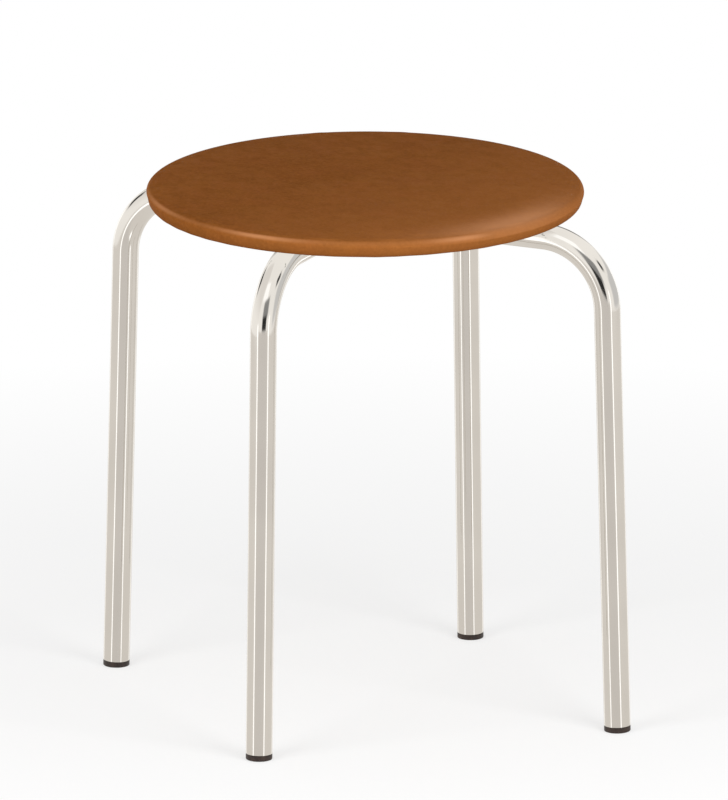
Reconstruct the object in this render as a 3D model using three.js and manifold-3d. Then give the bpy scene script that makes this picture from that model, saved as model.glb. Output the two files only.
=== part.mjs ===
// A low round stool: a thin padded seat on two crossed hoops of chromed steel tube.
// Lengths are in millimetres. +Z is up, and the origin lies on the floor below the middle of the seat.
// The wider hoop stands along X and the narrower along Y, so each of the four legs lies on an axis.

import * as THREE from "three";
import { mergeVertices } from "three/addons/utils/BufferGeometryUtils.js";
import Module from "manifold-3d";

// Whole stool
const stoolHeight = 446;
const armCount = 4;
const footRadiusX = 233;
const footRadiusY = 205;
const legLean = THREE.MathUtils.degToRad(1.6);
const fitGap = 0.3;
const cutOverrun = 2;

// Tube of the two hoops
const tubeDiameter = 22.2;
const tubeWall = 1.2;
const bendRadius = 58;
const pressedWidth = 28;
const pressedMargin = 3;
const pressRunOut = 24;
const pressedCornerPower = 4;

// Seat, from the cover down to the board
const seatRadius = 183;
const coverThickness = 1;
const foamThickness = 4;
const boardThickness = 9;
const crownRise = 2;
const crownFlatRadius = 30;
const shoulderRadius = 6.5;
const hemRadius = 5;
const drawIn = 1.2;
const marginWidth = 31;

// Staples that hold the margin of the cover
const stapleCount = 20;
const stapleWidth = 10;
const stapleWire = 1;
const stapleLegLength = 6;
const stapleInset = 12;

// Bolts, saddle washers and tee nuts that hold the seat to the hoops
const boltCircleRadius = 66;
const boltDiameter = 6;
const boltLength = 35;
const boltTipChamfer = 0.6;
const boltHeadDiameter = 12;
const boltHeadHeight = 3.6;
const boltHeadFlatDiameter = 8;
const socketWidth = 4;
const socketDepth = 2.2;
const saddleDiameter = 16;
const saddleBase = 1.5;
const saddleWing = 2;
const teeNutFlangeDiameter = 19;
const teeNutFlangeThickness = 1.2;
const teeNutBarrelDiameter = 8.4;
const teeNutBarrelLength = 7.5;

// Rivet through the crossing of the hoops
const rivetDiameter = 8;
const rivetHeadDiameter = 14;
const rivetUpperHead = 1;
const rivetLowerHead = 2.6;
const rivetCrownDiameter = 8;

// Foot plugs
const plugHeadHeight = 4.6;
const plugEdge = 1;
const plugSpigotLength = 20;
const plugSpigotWall = 2;
const plugSpigotPlay = 0.7;
const plugRibCount = 2;
const plugRibHeight = 1.6;
const plugRibPitch = 6;
const plugFloor = 3;

// How finely round shapes are cut into faces
const seatSides = 40;
const tubeSides = 16;
const smallSides = 16;
const hexagonSides = 6;
const bendSteps = 12;
const pressSteps = 5;
const fineArcSteps = 4;
const coarseArcSteps = 2;

// Sizes that follow from the ones above
const tubeRadius = tubeDiameter / 2;
const boreRadius = tubeRadius - tubeWall;
const foamTop = stoolHeight - coverThickness - fitGap;
const foamBottom = foamTop - foamThickness;
const boardTop = foamBottom - fitGap;
const boardBottom = boardTop - boardThickness;
const marginTop = boardBottom - fitGap;
const seatUnderside = marginTop - coverThickness;
const marginInnerRadius = seatRadius - marginWidth;
const runHeight = seatUnderside - fitGap - tubeRadius;
const tubeEndHeight = plugHeadHeight + fitGap;
const pressedHeight = tubeRadius - fitGap / 2;
const pressedHalfLength = pressedWidth / 2 + pressedMargin;
const boltRadius = boltDiameter / 2;
const boltHoleRadius = boltRadius + fitGap;
const saddleBottom = runHeight - tubeRadius - fitGap - saddleBase;
const boltSeat = saddleBottom - fitGap;
const rivetRadius = rivetDiameter / 2;

// The bend's centre lies below the run, and this far inwards from the middle of its leaning leg's foot
const bendCentreHeight = runHeight - bendRadius;
const legTopHeight = bendCentreHeight + bendRadius * Math.sin(legLean);
const bendCentreInset = legTopHeight * Math.tan(legLean) + bendRadius * Math.cos(legLean);

// Finishes
const leatherette = new THREE.MeshStandardMaterial({ color: 0x87501f, roughness: 0.5, metalness: 0 });
const foam = new THREE.MeshStandardMaterial({ color: 0xe6dcc0, roughness: 0.95, metalness: 0 });
const plywood = new THREE.MeshStandardMaterial({ color: 0xc9a876, roughness: 0.75, metalness: 0 });
const chrome = new THREE.MeshStandardMaterial({ color: 0xd8d5cf, roughness: 0.08, metalness: 1 });
const zincSteel = new THREE.MeshStandardMaterial({ color: 0xb4b6b8, roughness: 0.35, metalness: 1 });
const blackPlastic = new THREE.MeshStandardMaterial({ color: 0x1d1a19, roughness: 0.6, metalness: 0 });

const solids = await Module();
solids.setup();

// Joins doubled corners and drops the faces that have no area, such as a turned shape's at its axis
function closedGeometry(geometry) {
  const bare = geometry.clone();
  bare.deleteAttribute("normal");
  bare.deleteAttribute("uv");
  const merged = mergeVertices(bare);
  const corners = Array.from(merged.index.array);
  const kept = [];
  for (let face = 0; face < corners.length; face += 3) {
    const [a, b, c] = corners.slice(face, face + 3);
    if (a !== b && b !== c && c !== a) {
      kept.push(a, b, c);
    }
  }
  merged.setIndex(kept);
  return merged;
}

function toSolid(geometry) {
  const closed = closedGeometry(geometry);
  const vertProperties = new Float32Array(closed.attributes.position.array);
  const triVerts = new Uint32Array(closed.index.array);
  return new solids.Manifold(new solids.Mesh({ numProp: 3, vertProperties, triVerts }));
}

function toGeometry(solid) {
  const mesh = solid.getMesh();
  const geometry = new THREE.BufferGeometry();
  geometry.setAttribute("position", new THREE.Float32BufferAttribute(mesh.vertProperties, 3));
  geometry.setIndex(Array.from(mesh.triVerts));
  return geometry;
}

// Takes each cutter away from a piece
function cut(geometry, cutters) {
  const start = toSolid(geometry);
  return toGeometry(cutters.reduce((solid, cutter) => solid.subtract(toSolid(cutter)), start));
}

function overlapOf(first, second) {
  return toGeometry(toSolid(first).intersect(toSolid(second)));
}

// A shape turned about Z from [radius, height] points, given from the bottom outwards and up.
// An outline that doesn't start on the axis is closed on itself, which makes a ring.
function turned(outline, sides) {
  const points = outline.map(([radius, height]) => new THREE.Vector2(radius, height));
  if (points[0].x > 0) {
    points.push(points[0].clone());
  }
  return closedGeometry(new THREE.LatheGeometry(points, sides).rotateX(Math.PI / 2));
}

// An upright bar with a regular section, from one height to another
function uprightBar(radius, bottom, top, sides) {
  const bar = new THREE.CylinderGeometry(radius, radius, top - bottom, sides);
  return bar.rotateX(Math.PI / 2).translate(0, 0, (top + bottom) / 2);
}

function addPiece(parent, name, geometry, material, turn = 0) {
  const flatShaded = geometry.toNonIndexed();
  flatShaded.computeVertexNormals();
  const piece = new THREE.Mesh(flatShaded, material);
  piece.name = name;
  piece.rotation.z = turn;
  parent.add(piece);
}

// Points of an arc, from one angle to another, about a centre
function arc(centreRadius, centreHeight, radius, from, to, steps) {
  const points = [];
  for (let step = 0; step <= steps; step += 1) {
    const angle = from + ((to - from) * step) / steps;
    points.push([centreRadius + radius * Math.cos(angle), centreHeight + radius * Math.sin(angle)]);
  }
  return points;
}

// The seat's outline, moved inwards by an inset: the underside, the hem's round, the drawn-in side,
// the shoulder's round and the crown. Its points run from the underside's inner end up to the axis.
function seatOutline(inset, innerRadius, arcSteps) {
  const hemCentre = seatRadius - drawIn - hemRadius;
  const shoulderCentre = seatRadius - shoulderRadius;
  const crownEdge = stoolHeight - crownRise;
  const crownMiddle = (crownFlatRadius + shoulderCentre) / 2;
  const crownSpan = shoulderCentre - crownFlatRadius;
  const crownHeight = (radius) => stoolHeight - crownRise * ((radius - crownFlatRadius) / crownSpan) ** 2;
  return [
    [innerRadius, seatUnderside + inset],
    ...arc(hemCentre, seatUnderside + hemRadius, hemRadius - inset, -Math.PI / 2, 0, arcSteps),
    ...arc(shoulderCentre, crownEdge - shoulderRadius, shoulderRadius - inset, 0, Math.PI / 2, arcSteps),
    [crownMiddle, crownHeight(crownMiddle) - inset],
    [crownFlatRadius, stoolHeight - inset],
    [0, stoolHeight - inset],
  ];
}

function stapleAngles() {
  return Array.from({ length: stapleCount }, (_, place) => ((place + 1 / 2) * 2 * Math.PI) / stapleCount);
}

// The two legs of a staple at its place on the margin, widened by an allowance all round
function stapleLegs(angle, allowance) {
  const top = seatUnderside - fitGap - stapleWire + stapleLegLength + allowance;
  const bottom = seatUnderside - fitGap - stapleWire;
  const side = stapleWire + 2 * allowance;
  const spread = (stapleWidth - stapleWire) / 2;
  return [-spread, spread].map((across) => {
    const leg = new THREE.BoxGeometry(side, side, top - bottom);
    leg.translate(marginInnerRadius + stapleInset, across, (top + bottom) / 2);
    return leg.rotateZ(angle);
  });
}

// The cover: a thin skin over the crown and the side, with a margin turned under the board
function seatCover() {
  const skin = seatOutline(0, marginInnerRadius, fineArcSteps);
  const lining = seatOutline(coverThickness, marginInnerRadius, coarseArcSteps);
  const outline = [...lining.reverse(), ...skin];
  const legHoles = stapleAngles().flatMap((angle) => stapleLegs(angle, fitGap));
  return cut(turned(outline, seatSides), legHoles);
}

// What fills the cover, from one height to another
function coverFilling(bottom, top) {
  const inset = coverThickness + fitGap;
  const outline = [[0, seatUnderside + inset], ...seatOutline(inset, marginInnerRadius, coarseArcSteps)];
  const whole = turned(outline, seatSides);
  return overlapOf(whole, uprightBar(seatRadius + cutOverrun, bottom, top, seatSides));
}

// The directions of the arms of the hoops, which carry a bolt and a foot each
function armTurns() {
  return Array.from({ length: armCount }, (_, arm) => (arm * 2 * Math.PI) / armCount);
}

function onEachArm(geometry) {
  return armTurns().map((turn) => geometry.clone().translate(boltCircleRadius, 0, 0).rotateZ(turn));
}

function seatBoard() {
  const board = coverFilling(boardBottom, boardTop);
  const barrelHole = uprightBar(
    teeNutBarrelDiameter / 2 + fitGap,
    boardBottom - cutOverrun,
    boardTop + cutOverrun,
    smallSides,
  );
  const legHoles = stapleAngles().flatMap((angle) => stapleLegs(angle, fitGap));
  return cut(board, [...onEachArm(barrelHole), ...legHoles]);
}

// The foam, which has a pocket over each tee nut's flange
function seatFoam() {
  const pad = coverFilling(foamBottom, foamTop);
  const pocket = uprightBar(
    teeNutFlangeDiameter / 2 + fitGap,
    foamBottom - cutOverrun,
    foamBottom + teeNutFlangeThickness + fitGap,
    smallSides,
  );
  return cut(pad, onEachArm(pocket));
}

function staple(angle) {
  const [first, second] = stapleLegs(angle, 0);
  const crown = new THREE.BoxGeometry(stapleWire, stapleWidth, stapleWire);
  crown.translate(marginInnerRadius + stapleInset, 0, seatUnderside - fitGap - stapleWire / 2);
  crown.rotateZ(angle);
  return toGeometry(toSolid(crown).add(toSolid(first)).add(toSolid(second)));
}

// The path of a hoop's middle line, as stations with a place, a lean and a share of pressing.
// The lean is the angle of the tube's outer side from the horizontal: a right angle on the run.
function hoopStations(footRadius) {
  const half = [];
  half.push({
    along: footRadius - tubeEndHeight * Math.sin(legLean),
    height: tubeEndHeight * Math.cos(legLean),
    angle: legLean,
    press: 0,
  });
  for (let step = 0; step <= bendSteps; step += 1) {
    const angle = legLean + ((Math.PI / 2 - legLean) * step) / bendSteps;
    half.push({
      along: footRadius - bendCentreInset + bendRadius * Math.cos(angle),
      height: bendCentreHeight + bendRadius * Math.sin(angle),
      angle,
      press: 0,
    });
  }
  for (let step = 0; step <= pressSteps; step += 1) {
    const share = step / pressSteps;
    half.push({
      along: pressedHalfLength + pressRunOut * (1 - share),
      height: runHeight,
      angle: Math.PI / 2,
      press: THREE.MathUtils.smoothstep(share, 0, 1),
    });
  }
  const mirrored = half.toReversed().map((station) => ({
    ...station,
    along: -station.along,
    angle: Math.PI - station.angle,
  }));
  return [...half, ...mirrored];
}

// A ring of points round the middle line. A pressed section is low and wide, with flattened sides,
// and keeps to the upper or the lower half of the tube's height.
function hoopRing(station, wall, pressedUp) {
  const { lerp } = THREE.MathUtils;
  const halfWidth = lerp(tubeRadius, pressedWidth / 2, station.press) - wall;
  const halfHeight = lerp(tubeRadius, pressedHeight / 2, station.press) - wall;
  const power = 2 / lerp(2, pressedCornerPower, station.press);
  const shift = pressedUp * station.press * (tubeRadius - pressedHeight / 2);
  const ring = [];
  for (let side = 0; side < tubeSides; side += 1) {
    const turn = ((side + 1 / 2) * 2 * Math.PI) / tubeSides;
    const across = halfWidth * Math.sign(Math.cos(turn)) * Math.abs(Math.cos(turn)) ** power;
    const out = shift + halfHeight * Math.sign(Math.sin(turn)) * Math.abs(Math.sin(turn)) ** power;
    ring.push(
      station.along + out * Math.cos(station.angle),
      across,
      station.height + out * Math.sin(station.angle),
    );
  }
  return ring;
}

// The tube of a hoop: an outer and an inner skin that meet in a flat ring at each end
function hoopTube(footRadius, pressedUp) {
  const stations = hoopStations(footRadius);
  const outer = stations.map((station) => hoopRing(station, 0, pressedUp));
  const inner = stations.map((station) => hoopRing(station, tubeWall, pressedUp));
  const rings = [...outer, ...inner.reverse()];
  const faces = [];
  for (let ring = 0; ring < rings.length; ring += 1) {
    const nextRing = (ring + 1) % rings.length;
    for (let side = 0; side < tubeSides; side += 1) {
      const nextSide = (side + 1) % tubeSides;
      const a = ring * tubeSides + side;
      const b = ring * tubeSides + nextSide;
      const c = nextRing * tubeSides + nextSide;
      const d = nextRing * tubeSides + side;
      faces.push(a, c, b, a, d, c);
    }
  }
  const geometry = new THREE.BufferGeometry();
  geometry.setAttribute("position", new THREE.Float32BufferAttribute(rings.flat(), 3));
  geometry.setIndex(faces);
  return geometry;
}

// A hoop with the holes for its two bolts and for the rivet
function legHoop(footRadius, pressedUp) {
  const bottom = runHeight - tubeRadius - cutOverrun;
  const top = runHeight + tubeRadius + cutOverrun;
  const boltHole = uprightBar(boltHoleRadius, bottom, top, smallSides);
  const rivetHole = uprightBar(rivetRadius + fitGap, bottom, top, smallSides);
  return cut(hoopTube(footRadius, pressedUp), [
    boltHole.clone().translate(boltCircleRadius, 0, 0),
    boltHole.clone().translate(-boltCircleRadius, 0, 0),
    rivetHole,
  ]);
}

function crossingRivet() {
  const lower = runHeight - tubeRadius - fitGap;
  const upper = runHeight + tubeRadius + fitGap;
  return turned(
    [
      [0, lower - rivetLowerHead],
      [rivetCrownDiameter / 2, lower - rivetLowerHead],
      [rivetHeadDiameter / 2, lower],
      [rivetRadius, lower],
      [rivetRadius, upper],
      [rivetHeadDiameter / 2, upper],
      [rivetHeadDiameter / 2, upper + rivetUpperHead],
      [0, upper + rivetUpperHead],
    ],
    smallSides,
  );
}

function seatBolt() {
  const tip = boltSeat + boltLength;
  const headBottom = boltSeat - boltHeadHeight;
  const body = turned(
    [
      [0, headBottom],
      [boltHeadFlatDiameter / 2, headBottom],
      [boltHeadDiameter / 2, boltSeat - boltHeadHeight / 2],
      [boltHeadDiameter / 2, boltSeat],
      [boltRadius, boltSeat],
      [boltRadius, tip - boltTipChamfer],
      [boltRadius - boltTipChamfer, tip],
      [0, tip],
    ],
    smallSides,
  );
  const socketRadius = socketWidth / 2 / Math.cos(Math.PI / hexagonSides);
  const socket = uprightBar(socketRadius, headBottom - cutOverrun, headBottom + socketDepth, hexagonSides);
  return cut(body, [socket]).translate(boltCircleRadius, 0, 0);
}

// A washer whose upper side is hollowed to sit under the round tube
function saddleWasher() {
  const washer = turned(
    [
      [boltHoleRadius, saddleBottom],
      [saddleDiameter / 2, saddleBottom],
      [saddleDiameter / 2, saddleBottom + saddleBase + saddleWing],
      [boltHoleRadius, saddleBottom + saddleBase + saddleWing],
    ],
    smallSides,
  );
  const tube = new THREE.CylinderGeometry(
    tubeRadius + fitGap,
    tubeRadius + fitGap,
    saddleDiameter + cutOverrun,
    2 * tubeSides,
  );
  tube.rotateZ(Math.PI / 2).translate(0, 0, runHeight);
  return cut(washer, [tube]).translate(boltCircleRadius, 0, 0);
}

function teeNut() {
  const flangeBottom = boardTop + fitGap / 2;
  const barrelBottom = boardTop - teeNutBarrelLength;
  const ring = turned(
    [
      [boltHoleRadius, barrelBottom],
      [teeNutBarrelDiameter / 2, barrelBottom],
      [teeNutBarrelDiameter / 2, flangeBottom],
      [teeNutFlangeDiameter / 2, flangeBottom],
      [teeNutFlangeDiameter / 2, flangeBottom + teeNutFlangeThickness],
      [boltHoleRadius, flangeBottom + teeNutFlangeThickness],
    ],
    smallSides,
  );
  return ring.translate(boltCircleRadius, 0, 0);
}

// A foot plug: a head as wide as the tube, and a hollow ribbed spigot inside it.
// It leans with its leg and is cut flat where it meets the floor.
function footPlug(footRadius) {
  const ribRadius = boreRadius - fitGap;
  const spigotRadius = ribRadius - plugSpigotPlay;
  const spigotTop = plugHeadHeight + plugSpigotLength;
  const trim = tubeRadius * Math.tan(legLean);
  const ribs = [];
  for (let rib = 0; rib < plugRibCount; rib += 1) {
    const start = plugHeadHeight + plugRibPitch * (rib + 1);
    ribs.push([spigotRadius, start], [ribRadius, start], [spigotRadius, start + plugRibHeight]);
  }
  const plug = turned(
    [
      [0, -trim],
      [tubeRadius - plugEdge, -trim],
      [tubeRadius, plugEdge - trim],
      [tubeRadius, plugHeadHeight],
      [spigotRadius, plugHeadHeight],
      ...ribs,
      [spigotRadius, spigotTop],
      [spigotRadius - plugSpigotWall, spigotTop],
      [spigotRadius - plugSpigotWall, plugFloor],
      [0, plugFloor],
    ],
    smallSides,
  );
  plug.rotateY(-legLean).translate(footRadius, 0, 0);
  const belowFloor = uprightBar(tubeDiameter, -cutOverrun, 0, smallSides).translate(footRadius, 0, 0);
  return cut(plug, [belowFloor]);
}

function numbered(name, place) {
  return `${name}_${String(place + 1).padStart(2, "0")}`;
}

function seatGroup() {
  const seat = new THREE.Group();
  addPiece(seat, "seat_cover", seatCover(), leatherette);
  addPiece(seat, "seat_foam", seatFoam(), foam);
  addPiece(seat, "seat_board", seatBoard(), plywood);
  stapleAngles().forEach((angle, place) => {
    addPiece(seat, numbered("staple", place), staple(angle), zincSteel);
  });
  return seat;
}

function legGroup() {
  const legs = new THREE.Group();
  addPiece(legs, "leg_hoop_x", legHoop(footRadiusX, 1), chrome);
  addPiece(legs, "leg_hoop_y", legHoop(footRadiusY, -1), chrome, Math.PI / 2);
  addPiece(legs, "crossing_rivet", crossingRivet(), zincSteel);
  return legs;
}

// The pieces that come once on each arm, of which every second one belongs to the hoop along Y
function armGroup() {
  const arms = new THREE.Group();
  const footRadii = [footRadiusX, footRadiusY];
  armTurns().forEach((turn, place) => {
    addPiece(arms, numbered("seat_bolt", place), seatBolt(), zincSteel, turn);
    addPiece(arms, numbered("saddle_washer", place), saddleWasher(), blackPlastic, turn);
    addPiece(arms, numbered("tee_nut", place), teeNut(), zincSteel, turn);
    const footRadius = footRadii[place % footRadii.length];
    addPiece(arms, numbered("foot_plug", place), footPlug(footRadius), blackPlastic, turn);
  });
  return arms;
}

const stool = new THREE.Group();
stool.name = "round_stool";
stool.add(seatGroup(), legGroup(), armGroup());

export default stool;
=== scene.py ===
# %% [markdown]
# # A low round stool with a leatherette seat and four chromed legs
#
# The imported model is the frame: it holds every piece at its real size and place, in metres. This file
# gives each piece its fine surface and its finish. Every piece is worked out where it belongs, so
# nothing is moved afterwards.

# %% The frame
import math

import bpy
import numpy as np
from mathutils import Matrix, Vector


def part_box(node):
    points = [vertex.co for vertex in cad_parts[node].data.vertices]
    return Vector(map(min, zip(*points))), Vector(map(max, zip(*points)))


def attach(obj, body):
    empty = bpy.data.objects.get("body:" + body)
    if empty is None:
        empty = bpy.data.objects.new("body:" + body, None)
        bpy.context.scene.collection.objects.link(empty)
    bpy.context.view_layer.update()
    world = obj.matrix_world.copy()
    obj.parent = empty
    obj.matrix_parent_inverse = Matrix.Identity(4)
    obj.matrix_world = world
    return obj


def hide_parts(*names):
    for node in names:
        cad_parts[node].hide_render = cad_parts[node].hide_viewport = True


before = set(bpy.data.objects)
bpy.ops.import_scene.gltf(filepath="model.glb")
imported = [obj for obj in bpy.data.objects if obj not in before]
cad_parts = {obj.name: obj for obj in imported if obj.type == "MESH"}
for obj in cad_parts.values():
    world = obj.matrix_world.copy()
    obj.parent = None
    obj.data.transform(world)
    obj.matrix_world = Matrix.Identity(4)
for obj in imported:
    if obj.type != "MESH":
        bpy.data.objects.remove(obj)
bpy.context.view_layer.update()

# %% [markdown]
# ## Sizes
#
# A few sizes drive the rest. The seat's come from the frame, and the tube's are those of the real
# tube: 22.2 mm across with a 1.2 mm wall. Where pieces meet they keep the frame's small gap.

# %% Sizes of the seat, the tube and the hoops
mm = 0.001
seat_low, seat_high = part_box("seat_cover")
seat_radius = seat_high.x
stool_top = seat_high.z
seat_underside = seat_low.z
fit_gap = 0.3 * mm
tube_radius = 11.1 * mm
tube_wall = 1.2 * mm
bend_radius = 58 * mm
leg_lean = math.radians(1.6)
foot_radius_x, foot_radius_y = 233 * mm, 205 * mm
bolt_low, bolt_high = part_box("seat_bolt_01")
bolt_circle = (bolt_low.x + bolt_high.x) / 2
arm_turns = np.arange(4) * math.pi / 2
run_height = seat_underside - fit_gap - tube_radius
print("seat", round(2 * seat_radius, 4), "run of the tube at", round(run_height, 4))

# %% [markdown]
# ## The camera
#
# The stool is seen from far off and a little above, through a long lens, so its legs look almost
# parallel. The lens is given as the number of pixels that a slope of one covers, in a picture that is
# 800 pixels on its long side.

# %% The camera at the photograph's angle
view_azimuth = math.radians(25.64)
view_elevation = math.radians(15.3)
view_roll = math.radians(0.05)
view_distance = 20.0
aim_height = 0.2582
aim_sideways = -0.0012
focal_pixels = 23930
long_side_pixels = 800
sensor_width = 36

back = Vector((
    math.sin(view_azimuth) * math.cos(view_elevation),
    -math.cos(view_azimuth) * math.cos(view_elevation),
    math.sin(view_elevation),
))
level_right = Vector((math.cos(view_azimuth), math.sin(view_azimuth), 0))
level_up = back.cross(level_right)
right = math.cos(view_roll) * level_right - math.sin(view_roll) * level_up
up = math.sin(view_roll) * level_right + math.cos(view_roll) * level_up

camera_data = bpy.data.cameras.new("camera")
camera_data.sensor_width = sensor_width
camera_data.lens = focal_pixels * sensor_width / long_side_pixels
camera_data.clip_end = 2 * view_distance
camera = bpy.data.objects.new("camera", camera_data)
aim = Vector((0, 0, aim_height)) + aim_sideways * level_right
camera_place = Matrix.Translation(aim + view_distance * back)
camera.matrix_world = camera_place @ Matrix((right, up, back)).transposed().to_4x4()
bpy.context.scene.collection.objects.link(camera)
bpy.context.scene.camera = camera
bpy.context.scene.view_settings.view_transform = "Standard"
print("lens", round(camera_data.lens, 1), "mm")

# %% [markdown]
# ## How surfaces are made
#
# Every new piece is a grid of points worked out with numpy. One helper turns a grid into a mesh: it
# joins neighbours with four-sided faces, makes one vertex of points that coincide, and so closes
# seams and poles by itself. It also keeps two lengths in the UV map, along the piece and round it.

# %% A mesh from a grid of points
weld_distance = 1e-6


def surface(name, points, rows_wrap=False, columns_wrap=False, lengths=None, sharp_degrees=40):
    """Joins each point of the grid to its neighbours in the next row and the next column. A direction
    that wraps joins its last line to its first. lengths gives the UV values of the rows and of the
    columns; where a direction wraps, it has one more value than there are lines."""
    rows, columns = points.shape[:2]
    row = np.arange(rows if rows_wrap else rows - 1)[:, None, None] + np.array([0, 0, 1, 1])
    column = np.arange(columns if columns_wrap else columns - 1)[None, :, None] + np.array([0, 1, 1, 0])
    row, column = np.broadcast_arrays(row, column)
    flat = points.reshape(-1, 3)
    keys = np.round(flat / weld_distance).astype(np.int64)
    _, first, joined = np.unique(keys, axis=0, return_index=True, return_inverse=True)
    corners = joined.reshape(-1)[(row % rows) * columns + column % columns].reshape(-1, 4)
    kept = corners != np.roll(corners, 1, axis=1)
    kept[kept.sum(axis=1) < 3] = False
    sizes = kept.sum(axis=1)
    sizes = sizes[sizes > 0]

    mesh = bpy.data.meshes.new(name)
    mesh.vertices.add(len(first))
    mesh.vertices.foreach_set("co", flat[first].ravel())
    mesh.loops.add(int(sizes.sum()))
    mesh.loops.foreach_set("vertex_index", corners[kept].astype(np.int32))
    mesh.polygons.add(len(sizes))
    mesh.polygons.foreach_set("loop_start", np.concatenate([[0], np.cumsum(sizes)[:-1]]).astype(np.int32))
    if lengths is not None:
        row_length, column_length = (np.asarray(length) for length in lengths)
        uv = np.stack([row_length[row], column_length[column]], axis=-1).reshape(-1, 4, 2)
        mesh.uv_layers.new(name="UVMap").uv.foreach_set("vector", uv[kept].ravel())
    mesh.update(calc_edges=True)
    mesh.validate()
    mesh.shade_smooth()
    mesh.set_sharp_from_angle(angle=math.radians(sharp_degrees))
    return mesh


# %% Turned shapes, and arcs for their outlines
def arc(centre, radius, start, end, steps):
    """Points at centre + radius * (cos, sin) of angles from start to end, in degrees."""
    angles = np.radians(np.linspace(start, end, steps + 1))
    return np.stack([centre[0] + radius * np.cos(angles), centre[1] + radius * np.sin(angles)], axis=1)


def around_axis(radius, height, angles):
    """Points about the Z axis, at a radius and height in each direction: x = radius cos a, y =
    radius sin a."""
    x = radius * np.cos(angles)
    return np.stack([x, radius * np.sin(angles), height + 0 * x], axis=-1)


def turned(outline, sides):
    """Carries (radius, height) points once round the Z axis."""
    outline = np.vstack([np.atleast_2d(part) for part in outline])
    return around_axis(outline[:, :1], outline[:, 1:], np.arange(sides) * 2 * math.pi / sides)


def rotated(points, turn):
    """Points turned by an angle about the Z axis."""
    cos, sin = math.cos(turn), math.sin(turn)
    x, y, z = np.moveaxis(points, -1, 0)
    return np.stack([cos * x - sin * y, sin * x + cos * y, z], axis=-1)


# %% A tube of any section carried along a path in an upright plane
def rings(along, height, lean, half_across, half_out, power, shift, sides):
    """At each station of the path, a ring |across / half_across|^p + |out / half_out|^p = 1. Out is the
    direction at the angle lean in the path's plane, and shift moves the ring that way."""
    turn = ((np.arange(sides) + 0.5) * 2 * math.pi / sides)[None, :]
    along, height, lean, half_across, half_out, power, shift = (
        np.broadcast_to(value, np.shape(along))[:, None]
        for value in (along, height, lean, half_across, half_out, power, shift)
    )
    across = half_across * np.sign(np.cos(turn)) * np.abs(np.cos(turn)) ** (2 / power)
    out = shift + half_out * np.sign(np.sin(turn)) * np.abs(np.sin(turn)) ** (2 / power)
    return np.stack([along + out * np.cos(lean), across, height + out * np.sin(lean)], axis=-1)


# %% A piece from a mesh
def add_piece(name, mesh, material, slot, *nodes):
    """A finished piece at the origin, which rides on the stool and stands for the nodes it replaces."""
    piece = bpy.data.objects.new(name, mesh)
    bpy.context.scene.collection.objects.link(piece)
    mesh.materials.append(material)
    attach(piece, "root")
    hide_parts(*nodes)
    return piece


# %% [markdown]
# ## Finishes
#
# A material is a small graph of nodes. The helper below adds a node and fills its inputs: a value
# that is a socket is linked, and any other value is written in. Colours are given as they look on
# screen and turned into the linear values that the renderer works with.

# %% Helpers for materials
def linear(red, green, blue):
    """Screen colour from 0 to 255 to linear light, with an opaque fourth value."""
    screen = np.array([red, green, blue]) / 255
    light = np.where(screen <= 0.04045, screen / 12.92, ((screen + 0.055) / 1.055) ** 2.4)
    return (*light.tolist(), 1)


def add_node(tree, kind, inputs=None, **options):
    """Adds a node with its options, and sets or links its inputs by name or number."""
    node = tree.nodes.new(kind)
    for option, value in options.items():
        setattr(node, option, value)
    for name, value in (inputs or {}).items():
        if isinstance(value, bpy.types.NodeSocket):
            tree.links.new(value, node.inputs[name])
        else:
            node.inputs[name].default_value = value
    return node


def new_material(name):
    """An empty material, and its tree."""
    material = bpy.data.materials.new(name)
    material.use_nodes = True
    material.node_tree.nodes.clear()
    return material, material.node_tree


def noise(tree, place, scale, detail=2, roughness=0.5, distortion=0):
    """Cloudy noise between about 0.3 and 0.7, as a socket."""
    values = {"Vector": place, "Scale": scale, "Detail": detail}
    values |= {"Roughness": roughness, "Distortion": distortion}
    return add_node(tree, "ShaderNodeTexNoise", values).outputs["Fac"]


def spread(tree, value, low, high, new_low, new_high):
    """Moves the range from low to high to a new range, held within it."""
    values = {"Value": value, "From Min": low, "From Max": high, "To Min": new_low, "To Max": new_high}
    return add_node(tree, "ShaderNodeMapRange", values).outputs["Result"]


def blend_colours(tree, factor, first, second, how="MIX"):
    """One colour over another by a factor."""
    values = {0: factor, 6: first, 7: second}
    node = add_node(tree, "ShaderNodeMix", values, data_type="RGBA", blend_type=how)
    return node.outputs[2]


def stretched(tree, place, scale, turn=0):
    """Coordinates scaled along each axis, for grain that runs one way."""
    values = {"Vector": place, "Scale": scale, "Rotation": (0, 0, turn)}
    return add_node(tree, "ShaderNodeMapping", values).outputs["Vector"]


def bump(tree, height, distance, strength=1.0, normal=None):
    """Tilts the surface by a height in metres."""
    values = {"Height": height, "Distance": distance, "Strength": strength}
    if normal is not None:
        values["Normal"] = normal
    return add_node(tree, "ShaderNodeBump", values).outputs["Normal"]


def finish_material(tree, inputs):
    """The surface shader that the graph ends in."""
    shader = add_node(tree, "ShaderNodeBsdfPrincipled", inputs)
    add_node(tree, "ShaderNodeOutputMaterial", {"Surface": shader.outputs[0]})


# %% [markdown]
# ### Leatherette
#
# The cover is caramel brown, with soft clouds a hand wide, finer mottling inside them and a short grain
# that runs a little more one way than the other. Up close the skin has the pebbled cells of embossed sheet,
# about a millimetre across, with painted shade in the creases between them. A painted sheen makes the tone
# paler towards the side of the soft shoulder, and painted shade makes it darker low down on the edge. The
# rim's highlights are painted too, as a paler colour where an attribute of the mesh says. The sheet is
# dull, so its specular level is very low.

# %% Leatherette
soft_direction = math.radians(-14.4)
soft_side = (math.cos(soft_direction), math.sin(soft_direction), 0)


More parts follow.
